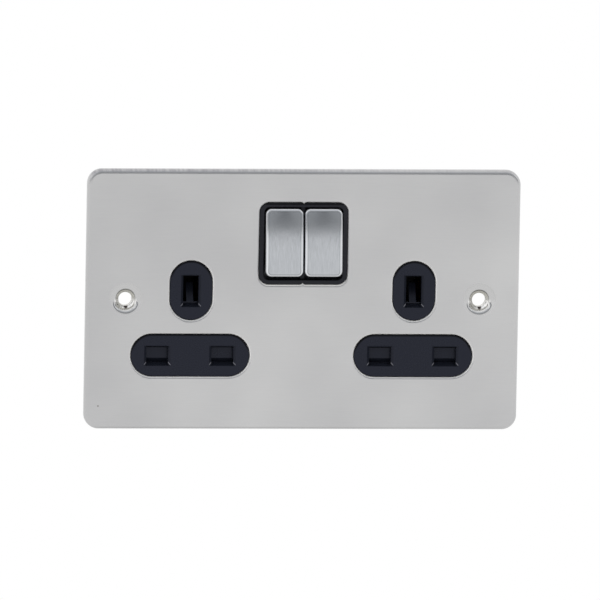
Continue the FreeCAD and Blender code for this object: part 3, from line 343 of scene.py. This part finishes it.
def brushed(name, colour, shade, roughness, spread, anisotropy, line, lie, depth, cloud, share):
    """Brushed stainless: long fine scratches in tone, gloss and surface, over slow clouds.

    Scratch width and depth and cloud size are in millimetres. The scratches run along the axis
    that lie scales down, and have the given share in the tone."""
    made, tree, surface, place = new_material(name, {"Metallic": 1.0, "Anisotropic": anisotropy})
    drawn = add(tree, "ShaderNodeMapping", {"Vector": place, "Scale": lie})
    lines = add(tree, "ShaderNodeTexNoise", {"Vector": drawn.outputs["Vector"], "Scale": 1 / line,
                                             "Detail": 3.0, "Roughness": 0.6})
    clouds = add(tree, "ShaderNodeTexNoise", {"Vector": place, "Scale": 1 / cloud, "Detail": 2.0})
    mixed = add(tree, "ShaderNodeMix", {"Factor": share, 2: clouds.outputs["Fac"],
                                        3: lines.outputs["Fac"]})
    shift = add(tree, "ShaderNodeMapRange", {"Value": mixed.outputs[0], "From Min": noise_low,
                                             "From Max": noise_high})
    tone = add(tree, "ShaderNodeMix", {"Factor": shift.outputs["Result"], 6: linear(shade),
                                       7: linear(colour)}, data_type="RGBA")
    tree.links.new(tone.outputs[2], surface.inputs["Base Color"])
    gloss = add(tree, "ShaderNodeMapRange", {"Value": lines.outputs["Fac"],
                                             "From Min": noise_low, "From Max": noise_high,
                                             "To Min": roughness + spread,
                                             "To Max": roughness - spread})
    tree.links.new(gloss.outputs["Result"], surface.inputs["Roughness"])
    bump = add(tree, "ShaderNodeBump", {"Height": lines.outputs["Fac"], "Strength": 0.4,
                                        "Distance": depth * mm})
    tree.links.new(bump.outputs["Normal"], surface.inputs["Normal"])
    return made, tree, surface, place, bump


# Rockers: a black polycarbonate body with trunnions and hub, and a stainless cap pressed over its
# front. The cap is linished up and down, which leaves fine upright lines, and then tumbled, which
# rounds and smooths its edges. The edges carry a painted highlight, with a painted shade line inside.
dress(surround_polycarbonate, "rocker_body_left", "rocker_body_right")

# The rim's painted highlight and the painted shade line beside it, strongest at the foot, follow a
# rounded rectangle inside the cap's outline, at any depth.
cap_low, cap_high = [[c / mm for c in corner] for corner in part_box("rocker_cap_right")]
any_depth = 100.0
cap_middle = (cap_low[0] + cap_high[0]) / 2, 0.0, (cap_low[2] + cap_high[2]) / 2
cap_half = (cap_high[0] - cap_low[0]) / 2, any_depth, (cap_high[2] - cap_low[2]) / 2
rim_width = 0.95
rim_corner = 1.1
rim_blend = 0.25
shade_line_width = 0.22
shade_line_foot = 1.0
shade_line_head = 5.0
shade_line_strongest = 0.8
shade_line_faintest = 0.25
rim_roughness = 0.16
cap_steel, tree, surface, place, bump = brushed(
    "linished_stainless_cap", "#bfc2c6", "#b3b6ba", roughness=0.22, spread=0.04, anisotropy=0.85,
    line=0.3, lie=(1.0, 1.0, 0.04), depth=0.001, cloud=18, share=0.7)
height = add(tree, "ShaderNodeSeparateXYZ", {"Vector": place}).outputs["Z"]
mirrored = add(tree, "ShaderNodeVectorMath", {0: place}, operation="ABSOLUTE")
offset = add(tree, "ShaderNodeVectorMath", {0: mirrored.outputs["Vector"], 1: cap_middle},
             operation="SUBTRACT")
offset = add(tree, "ShaderNodeVectorMath", {0: offset.outputs["Vector"]}, operation="ABSOLUTE")
past = add(tree, "ShaderNodeVectorMath", {0: offset.outputs["Vector"],
                                          1: [half - rim_width - rim_corner for half in cap_half]},
           operation="SUBTRACT")
past = add(tree, "ShaderNodeVectorMath", {0: past.outputs["Vector"], 1: (0.0, 0.0, 0.0)},
           operation="MAXIMUM")
reach = add(tree, "ShaderNodeVectorMath", {0: past.outputs["Vector"]}, operation="LENGTH")
reach = reach.outputs["Value"]
smooth_highlit_rim = add(tree, "ShaderNodeMapRange", {"Value": reach, "From Min": rim_corner,
                                       "From Max": rim_corner + rim_blend}).outputs["Result"]
# Painted highlight on the rim, which is also smoother.
lay_over(tree, surface.inputs["Base Color"], smooth_highlit_rim, linear("#dcdee1"))
lay_over(tree, surface.inputs["Roughness"], smooth_highlit_rim, rim_roughness)
from_shade_line = add(tree, "ShaderNodeMath", {0: reach, 1: rim_corner}, operation="SUBTRACT")
from_shade_line = add(tree, "ShaderNodeMath", {0: from_shade_line.outputs["Value"]}, operation="ABSOLUTE")
shade_line_edge = add(tree, "ShaderNodeMapRange", {"Value": from_shade_line.outputs["Value"],
                                             "From Max": shade_line_width, "To Min": 1.0, "To Max": 0.0})
shade_line_fade = add(tree, "ShaderNodeMapRange", {"Value": height, "From Min": cap_low[2] + shade_line_foot,
                                             "From Max": cap_low[2] + shade_line_head,
                                             "To Min": shade_line_strongest, "To Max": shade_line_faintest})
shade_line = add(tree, "ShaderNodeMath", {0: shade_line_edge.outputs["Result"],
                                    1: shade_line_fade.outputs["Result"]}, operation="MULTIPLY")
# Painted shade in a line along the inner edge of the rim, strongest at the foot.
lay_over(tree, surface.inputs["Base Color"], shade_line.outputs["Value"], linear("#6f7276"))
dress(cap_steel, "rocker_cap_left", "rocker_cap_right")

# Front plate: a shallow tray pressed from 1.2 mm stainless sheet, with punched openings and two
# coned seats for the fixing screws. Brushed so finely that the lines hardly show. The rolled edges
# of the openings and the seats are burnished smooth by the tool, and carry a painted highlight.
plate_low, plate_high = [[c / mm for c in corner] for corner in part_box("front_plate")]
rim_reach = 2.0
rim_blend = 0.5
burnished_roughness = 0.32
steep_roughness = 0.65
plate_steel, tree, surface, place, bump = brushed(
    "brushed_stainless_plate", "#cbcbcb", "#bcbcbd", roughness=0.3, spread=0.015, anisotropy=0.0,
    line=0.12, lie=(0.02, 1.0, 1.0), depth=0.0001, cloud=45, share=0.2)
slope = add(tree, "ShaderNodeTexCoord").outputs["Normal"]
slope = add(tree, "ShaderNodeSeparateXYZ", {"Vector": slope}).outputs
spot = add(tree, "ShaderNodeSeparateXYZ", {"Vector": place}).outputs
mirrored = add(tree, "ShaderNodeVectorMath", {0: place}, operation="ABSOLUTE")
mirrored = add(tree, "ShaderNodeSeparateXYZ", {"Vector": mirrored.outputs["Vector"]}).outputs
inside_x = add(tree, "ShaderNodeMapRange", {
    "Value": mirrored["X"], "From Min": plate_high[0] - rim_reach - rim_blend,
    "From Max": plate_high[0] - rim_reach, "To Min": 1.0, "To Max": 0.0})
inside_z = add(tree, "ShaderNodeMapRange", {
    "Value": mirrored["Z"], "From Min": plate_high[2] - rim_reach - rim_blend,
    "From Max": plate_high[2] - rim_reach, "To Min": 1.0, "To Max": 0.0})
inside = add(tree, "ShaderNodeMath", {0: inside_x.outputs["Result"],
                                      1: inside_z.outputs["Result"]}, operation="MULTIPLY")
tipped = add(tree, "ShaderNodeMapRange", {"Value": slope["Y"], "From Min": -0.92,
                                          "From Max": -0.75})
burnished_and_highlit = add(tree, "ShaderNodeMath", {0: tipped.outputs["Result"], 1: inside.outputs["Value"]},
                operation="MULTIPLY").outputs["Value"]
# Painted highlight on the tipped edges of the openings and seats, which are also smoother.
lay_over(tree, surface.inputs["Base Color"], burnished_and_highlit, linear("#f4f3f1"))
lay_over(tree, surface.inputs["Roughness"], burnished_and_highlit, burnished_roughness)
steep = add(tree, "ShaderNodeMapRange", {"Value": slope["Y"], "From Min": -0.8,
                                         "From Max": -0.6})
steep = add(tree, "ShaderNodeMath", {0: steep.outputs["Result"], 1: inside.outputs["Value"]},
            operation="MULTIPLY")
lay_over(tree, surface.inputs["Roughness"], steep.outputs["Value"], steep_roughness)

# The die left fine drawing marks across the plate's upper rolled edge, which carries painted shade,
# broken by the marks and fading to the right.
marks_per_mm = 1.1
marks_stretch = 0.05
mark_faintest = 0.35
fade_half = 35.0
upturned = add(tree, "ShaderNodeMapRange", {"Value": slope["Z"], "From Min": 0.35,
                                            "From Max": 0.7})
outside = add(tree, "ShaderNodeMath", {0: 1.0, 1: inside.outputs["Value"]}, operation="SUBTRACT")
marks = add(tree, "ShaderNodeMapping", {"Vector": place, "Scale": (1.0, marks_stretch, marks_stretch)})
marks = add(tree, "ShaderNodeTexNoise", {"Vector": marks.outputs["Vector"],
                                         "Scale": marks_per_mm, "Detail": 3.0})
marks = add(tree, "ShaderNodeMapRange", {"Value": marks.outputs["Fac"], "From Min": 0.35,
                                         "From Max": 0.65, "To Min": mark_faintest,
                                         "To Max": 1.0})
fading = add(tree, "ShaderNodeMapRange", {"Value": spot["X"], "From Min": -fade_half,
                                          "From Max": fade_half, "To Min": 1.0,
                                          "To Max": mark_faintest})
marks_and_shade = upturned.outputs["Result"]
for part in (outside.outputs["Value"], marks.outputs["Result"], fading.outputs["Result"]):
    marks_and_shade = add(tree, "ShaderNodeMath", {0: marks_and_shade, 1: part}, operation="MULTIPLY")
    marks_and_shade = marks_and_shade.outputs["Value"]
# Painted shade on the upper rolled edge, broken by the drawing marks.
lay_over(tree, surface.inputs["Base Color"], marks_and_shade, linear("#a2a1a5"))

# Round each seat the punch drew the sheet in, in a shallow dish that ends at a sharp dark ring.
# Each row of slopes gives an outer and an inner distance from the hole's middle, and the lean at
# the inner one. The lean eases towards the top.
hole_x = 60.3
seat_rise = 0.15
ring_radius = 3.3
dish_radius = 5.7
slopes = (dish_radius, 4.9, 0.2), (4.9, 4.2, 0.75), (4.2, ring_radius, 0.35)
eased_top = 0.4
side = add(tree, "ShaderNodeMath", {0: spot["X"]}, operation="SIGN")
arm_x = add(tree, "ShaderNodeMath", {0: side.outputs["Value"], 1: -hole_x, 2: spot["X"]},
            operation="MULTIPLY_ADD")
arm_z = add(tree, "ShaderNodeMath", {0: spot["Z"], 1: seat_rise}, operation="SUBTRACT")
arm = add(tree, "ShaderNodeCombineXYZ", {"X": arm_x.outputs["Value"],
                                         "Z": arm_z.outputs["Value"]}).outputs["Vector"]
reach = add(tree, "ShaderNodeVectorMath", {0: arm}, operation="LENGTH").outputs["Value"]
outward = add(tree, "ShaderNodeVectorMath", {0: arm}, operation="NORMALIZE")
outward = add(tree, "ShaderNodeSeparateXYZ", {"Vector": outward.outputs["Vector"]}).outputs
lean = 0.0
for outer, inner, steepest in slopes:
    part = add(tree, "ShaderNodeMapRange", {"Value": reach, "From Min": inner, "From Max": outer,
                                            "To Min": steepest, "To Max": 0.0})
    lean = add(tree, "ShaderNodeMath", {0: lean, 1: part.outputs["Result"]}, operation="ADD")
    lean = lean.outputs["Value"]
ease = add(tree, "ShaderNodeMapRange", {"Value": outward["Z"], "From Min": -0.6, "From Max": 0.1,
                                        "To Min": 1.0, "To Max": eased_top})
lean = add(tree, "ShaderNodeMath", {0: lean, 1: ease.outputs["Result"]}, operation="MULTIPLY")
lean = lean.outputs["Value"]
lean_x = add(tree, "ShaderNodeMath", {0: lean, 1: outward["X"]}, operation="MULTIPLY")
lean_z = add(tree, "ShaderNodeMath", {0: lean, 1: outward["Z"]}, operation="MULTIPLY")
tilted = add(tree, "ShaderNodeCombineXYZ", {"X": lean_x.outputs["Value"], "Y": 1.0,
                                            "Z": lean_z.outputs["Value"]})
tilted = add(tree, "ShaderNodeVectorMath", {0: tilted.outputs["Vector"], "Scale": -1.0},
             operation="SCALE")
tilted = add(tree, "ShaderNodeVectorMath", {0: tilted.outputs["Vector"]}, operation="NORMALIZE")
front = add(tree, "ShaderNodeMath", {0: slope["Y"], 1: -0.6}, operation="LESS_THAN")
past_ring = add(tree, "ShaderNodeMath", {0: reach, 1: ring_radius}, operation="GREATER_THAN")
near = add(tree, "ShaderNodeMath", {0: reach, 1: dish_radius}, operation="LESS_THAN")
dished = add(tree, "ShaderNodeMath", {0: past_ring.outputs["Value"], 1: front.outputs["Value"]},
             operation="MULTIPLY")
dished = add(tree, "ShaderNodeMath", {0: dished.outputs["Value"], 1: near.outputs["Value"]},
             operation="MULTIPLY")
straight = add(tree, "ShaderNodeNewGeometry").outputs["Normal"]
normal = add(tree, "ShaderNodeMix", {"Factor": dished.outputs["Value"], 4: straight,
                                     5: tilted.outputs["Vector"]}, data_type="VECTOR").outputs[1]

# Along the foot of the switch opening the edge of the roll leans out, and mirrors the pale floor.
foot_reach = 17.0
foot_low = 3.0
foot_high = 9.0
foot_normal = (0.0, -0.98, -0.2)
foot = add(tree, "ShaderNodeMapRange", {"Value": slope["Z"], "From Min": 0.5, "From Max": 0.6})
foot = foot.outputs["Result"]
for value, kind, limit in ((mirrored["X"], "LESS_THAN", foot_reach),
                           (mirrored["Z"], "LESS_THAN", foot_high),
                           (mirrored["Z"], "GREATER_THAN", foot_low)):
    within = add(tree, "ShaderNodeMath", {0: value, 1: limit}, operation=kind)
    foot = add(tree, "ShaderNodeMath", {0: foot, 1: within.outputs["Value"]},
               operation="MULTIPLY").outputs["Value"]
normal = add(tree, "ShaderNodeMix", {"Factor": foot, 4: normal, 5: foot_normal},
             data_type="VECTOR").outputs[1]
tree.links.new(normal, bump.inputs["Normal"])

# Tones of the seat: the dish is polished, and its upper half and the upper cone carry painted shade;
# the upper cone is also rougher. The ring is a dark crease line, with painted shade that makes it
# darkest at the top. A dark spot sits at the foot of the cone.
polish_radius = 4.8
polish_roughness = 0.16
upper_roughness = 0.6
ring_core = 0.02
ring_narrow = 0.18
ring_wide = 0.36
ring_foot_shade = 0.3
ring_top_shade = 0.8
dark_spot_place = (0.2, 0.0, -2.75)
dark_spot_radius = 0.45
dark_spot_blend = 0.35
polish = add(tree, "ShaderNodeMapRange", {"Value": reach, "From Min": polish_radius,
                                          "From Max": dish_radius, "To Min": 1.0, "To Max": 0.0})
lay_over(tree, surface.inputs["Roughness"], polish.outputs["Result"], polish_roughness)
ring_edge = add(tree, "ShaderNodeMath", {0: reach, 1: ring_radius}, operation="SUBTRACT")
ring_edge = add(tree, "ShaderNodeMath", {0: ring_edge.outputs["Value"]}, operation="ABSOLUTE")
ring_width = add(tree, "ShaderNodeMapRange", {"Value": outward["Z"], "From Min": 0.3,
                                              "From Max": 0.8, "To Min": ring_narrow,
                                              "To Max": ring_wide})
crease_line_and_shade = add(tree, "ShaderNodeMapRange", {"Value": ring_edge.outputs["Value"], "From Min": ring_core,
                                        "From Max": ring_width.outputs["Result"], "To Min": 1.0,
                                        "To Max": 0.0})
ring_shade = add(tree, "ShaderNodeMapRange", {"Value": outward["Z"], "From Min": -0.4,
                                              "From Max": 0.9, "To Min": ring_foot_shade,
                                              "To Max": ring_top_shade})
crease_line_and_shade = add(tree, "ShaderNodeMath", {0: crease_line_and_shade.outputs["Result"], 1: ring_shade.outputs["Result"]},
           operation="MULTIPLY")
cone = add(tree, "ShaderNodeMath", {0: reach, 1: ring_radius}, operation="LESS_THAN")
upper_cone_shade = add(tree, "ShaderNodeMapRange", {"Value": outward["Z"], "From Min": -0.3,
                                         "From Max": 0.3})
upper_cone_shade = add(tree, "ShaderNodeMath", {0: upper_cone_shade.outputs["Result"], 1: cone.outputs["Value"]},
            operation="MULTIPLY")
upper_dish_shade = add(tree, "ShaderNodeMapRange", {"Value": outward["Z"], "From Min": -0.2, "From Max": 0.1})
upper_dish_shade = add(tree, "ShaderNodeMath", {0: upper_dish_shade.outputs["Result"], 1: near.outputs["Value"]},
           operation="MULTIPLY")
# Painted shade on the upper half of the dish and cone.
lay_over(tree, surface.inputs["Base Color"], upper_dish_shade.outputs["Value"], linear("#c2c2c2"))
# Painted shade on the upper cone, which is also rougher.
lay_over(tree, surface.inputs["Base Color"], upper_cone_shade.outputs["Value"], linear("#dddcd5"))
lay_over(tree, surface.inputs["Roughness"], upper_cone_shade.outputs["Value"], upper_roughness)
# Dark crease line, with painted shade darkest at the top.
lay_over(tree, surface.inputs["Base Color"], crease_line_and_shade.outputs["Value"], linear("#3c3a38"))
# A dark spot at the foot of the cone.
dark_spot = add(tree, "ShaderNodeVectorMath", {0: arm, 1: dark_spot_place}, operation="DISTANCE")
dark_spot = add(tree, "ShaderNodeMapRange", {"Value": dark_spot.outputs["Value"], "From Min": dark_spot_radius,
                                        "From Max": dark_spot_radius + dark_spot_blend, "To Min": 1.0,
                                        "To Max": 0.0})
lay_over(tree, surface.inputs["Base Color"], dark_spot.outputs["Result"], linear("#4a4442"))

# One speck of dirt sits on the plate's face near the lower left corner.
speck_spot = (-69.1, -3.2, -36.5)
speck_radius = 0.17
away = add(tree, "ShaderNodeVectorMath", {0: place, 1: speck_spot}, operation="DISTANCE")
speck = add(tree, "ShaderNodeMapRange", {"Value": away.outputs["Value"], "From Min": speck_radius,
                                         "From Max": 2 * speck_radius, "To Min": 1.0,
                                         "To Max": 0.0})
lay_over(tree, surface.inputs["Base Color"], speck.outputs["Result"], linear("#7d7974"))
dress(plate_steel, "front_plate")

# Fixing bushes: steel tubes pressed in the lugs behind the plate's fixing holes and flared over the
# earth straps. Nickel plated, so the bore that shows in the hole is bright.
bush_nickel = rolled("nickel_plated_steel", "#c9c6c0", "#a5a29c", roughness=0.2, line=0.3)
dress(bush_nickel, "fixing_bushes")

# Camera: a long lens a little to the left of the socket and above it, turned slightly on its axis,
# as fitted to the plate's outline, openings and holes in the photograph.
camera_azimuth = math.radians(-6.27)
camera_elevation = math.radians(8.23)
camera_roll = math.radians(1.05)
camera_distance = 6.84
focal_pixels = 20171.0
frame_pixels = 600.0
sensor_width = 36.0
aim_right = -0.000543
aim_up = -0.000478

back = Vector((math.sin(camera_azimuth) * math.cos(camera_elevation),
               -math.cos(camera_azimuth) * math.cos(camera_elevation), math.sin(camera_elevation)))
level = Vector((math.cos(camera_azimuth), math.sin(camera_azimuth), 0.0))
upright = back.cross(level)
across = math.cos(camera_roll) * level + math.sin(camera_roll) * upright
above = math.cos(camera_roll) * upright - math.sin(camera_roll) * level
lens = bpy.data.cameras.new("camera")
lens.sensor_width = sensor_width
lens.lens = focal_pixels / frame_pixels * sensor_width
lens.clip_start = 0.1
lens.clip_end = 100.0
camera = bpy.data.objects.new("camera", lens)
stand = camera_distance * back + aim_right * across + aim_up * above
turn = Matrix((across, above, back)).transposed().to_4x4()
camera.matrix_world = Matrix.Translation(stand) @ turn
bpy.context.scene.collection.objects.link(camera)
bpy.context.scene.camera = camera

# Studio: a pale floor well below the socket, a white surround that the camera and the metal see,
# two soft lamps above and in front, and a grey card above the lens that gives the metal its dark
# bands. Sizes are in metres.
daylight = 0.7


def white_for_sight(tree):
    """1 for rays from the camera, from glossy surfaces and through glass, and 0 for the rest."""
    rays = add(tree, "ShaderNodeLightPath").outputs
    seen = add(tree, "ShaderNodeMath", {0: rays["Is Camera Ray"], 1: rays["Is Glossy Ray"]},
               operation="MAXIMUM")
    seen = add(tree, "ShaderNodeMath", {0: seen.outputs["Value"],
                                        1: rays["Is Transmission Ray"]}, operation="MAXIMUM")
    return seen.outputs["Value"]


world = bpy.data.worlds.new("studio")
world.use_nodes = True
world.cycles.sampling_method = "NONE"
tree = world.node_tree
strength = add(tree, "ShaderNodeMapRange", {"Value": white_for_sight(tree), "To Min": daylight})
tree.links.new(strength.outputs["Result"], tree.nodes["Background"].inputs["Strength"])
tree.nodes["Background"].inputs["Color"].default_value = (1.0, 1.0, 1.0, 1.0)
bpy.context.scene.world = world

# The floor turns white to the camera away from the spot below the socket, where the paper shows
# the socket's shadow. Seen from below it isn't there.
floor_drop = 0.3
floor_reach = 30.0
floor_near = 0.0
floor_far = 0.15


def board(name, corners):
    """Flat four-sided sheet."""
    mesh = bpy.data.meshes.new(name)
    mesh.from_pydata(corners, [], [(0, 1, 2, 3)])
    made = bpy.data.objects.new(name, mesh)
    bpy.context.scene.collection.objects.link(made)
    return made


floor = board("floor", [(-floor_reach, -floor_reach, -floor_drop),
                        (floor_reach, -floor_reach, -floor_drop),
                        (floor_reach, floor_reach, -floor_drop),
                        (-floor_reach, floor_reach, -floor_drop)])
floor_paper = bpy.data.materials.new("white_studio_paper")
floor_paper.use_nodes = True
tree = floor_paper.node_tree
paper = tree.nodes["Principled BSDF"]
paper.inputs["Base Color"].default_value = linear("#f2f2f2")
paper.inputs["Roughness"].default_value = 0.9
paper.inputs["Specular IOR Level"].default_value = 0.1
spot = add(tree, "ShaderNodeTexCoord").outputs["Object"]
away = add(tree, "ShaderNodeVectorMath", {0: spot, 1: (0.0, 0.0, -floor_drop)},
           operation="DISTANCE")
blown = add(tree, "ShaderNodeMapRange", {"Value": away.outputs["Value"], "From Min": floor_near,
                                         "From Max": floor_far})
factor = add(tree, "ShaderNodeMath", {0: blown.outputs["Result"], 1: white_for_sight(tree)},
             operation="MULTIPLY")
white = add(tree, "ShaderNodeEmission", {"Color": (1.0, 1.0, 1.0, 1.0), "Strength": 1.0})
upper_side = add(tree, "ShaderNodeMixShader", {0: factor.outputs["Value"],
                                               1: paper.outputs["BSDF"],
                                               2: white.outputs["Emission"]})
backfacing = add(tree, "ShaderNodeNewGeometry").outputs["Backfacing"]
clear = add(tree, "ShaderNodeBsdfTransparent").outputs["BSDF"]
one_sided = add(tree, "ShaderNodeMixShader", {0: backfacing, 1: upper_side.outputs["Shader"],
                                              2: clear})
tree.links.new(one_sided.outputs["Shader"], tree.nodes["Material Output"].inputs["Surface"])
floor.data.materials.append(floor_paper)

# Two soft lamps, one on each side, aimed at the socket.
lamp_aside = 0.9
lamp_forward = 0.7
lamp_rise = 0.6
lamp_size = 0.7
lamp_power = 1.7
for name, side in (("left_softbox", -1), ("right_softbox", 1)):
    light = bpy.data.lights.new(name, "AREA")
    light.shape = "RECTANGLE"
    light.size = lamp_size
    light.size_y = lamp_size
    light.energy = lamp_power
    lamp = bpy.data.objects.new(name, light)
    stand = Vector((side * lamp_aside, -lamp_forward, lamp_rise))
    lamp.location = stand
    lamp.rotation_euler = (-stand).to_track_quat("-Z", "Y").to_euler()
    bpy.context.scene.collection.objects.link(lamp)

# Only polished surfaces see the card, so that it neither blocks the lens nor shades the socket. It
# gets paler towards its top.
card_y = -0.5
card_low = 0.1014
card_high = 1.87
card_half_width = 1.5
card_dimmest = 0.21
card_fade = 0.62
card_paper = bpy.data.materials.new("grey_card")
card_paper.use_nodes = True
tree = card_paper.node_tree
spot = add(tree, "ShaderNodeTexCoord").outputs["Object"]
height = add(tree, "ShaderNodeSeparateXYZ", {"Vector": spot}).outputs["Z"]
glow = add(tree, "ShaderNodeMapRange", {"Value": height, "From Min": card_low,
                                        "From Max": card_high})
glow = add(tree, "ShaderNodeMath", {0: glow.outputs["Result"], 1: card_fade}, operation="POWER")
glow = add(tree, "ShaderNodeMapRange", {"Value": glow.outputs["Value"], "To Min": card_dimmest})
glow = add(tree, "ShaderNodeEmission", {"Color": (0.93, 0.96, 1.0, 1.0),
                                        "Strength": glow.outputs["Result"]})
tree.links.new(glow.outputs["Emission"], tree.nodes["Material Output"].inputs["Surface"])
card = board("shade_card", [(-card_half_width, card_y, card_low),
                            (card_half_width, card_y, card_low),
                            (card_half_width, card_y, card_high),
                            (-card_half_width, card_y, card_high)])
card.data.materials.append(card_paper)
card.visible_camera = False
card.visible_shadow = False
card.visible_diffuse = False

bpy.context.scene.view_settings.view_transform = "Standard"
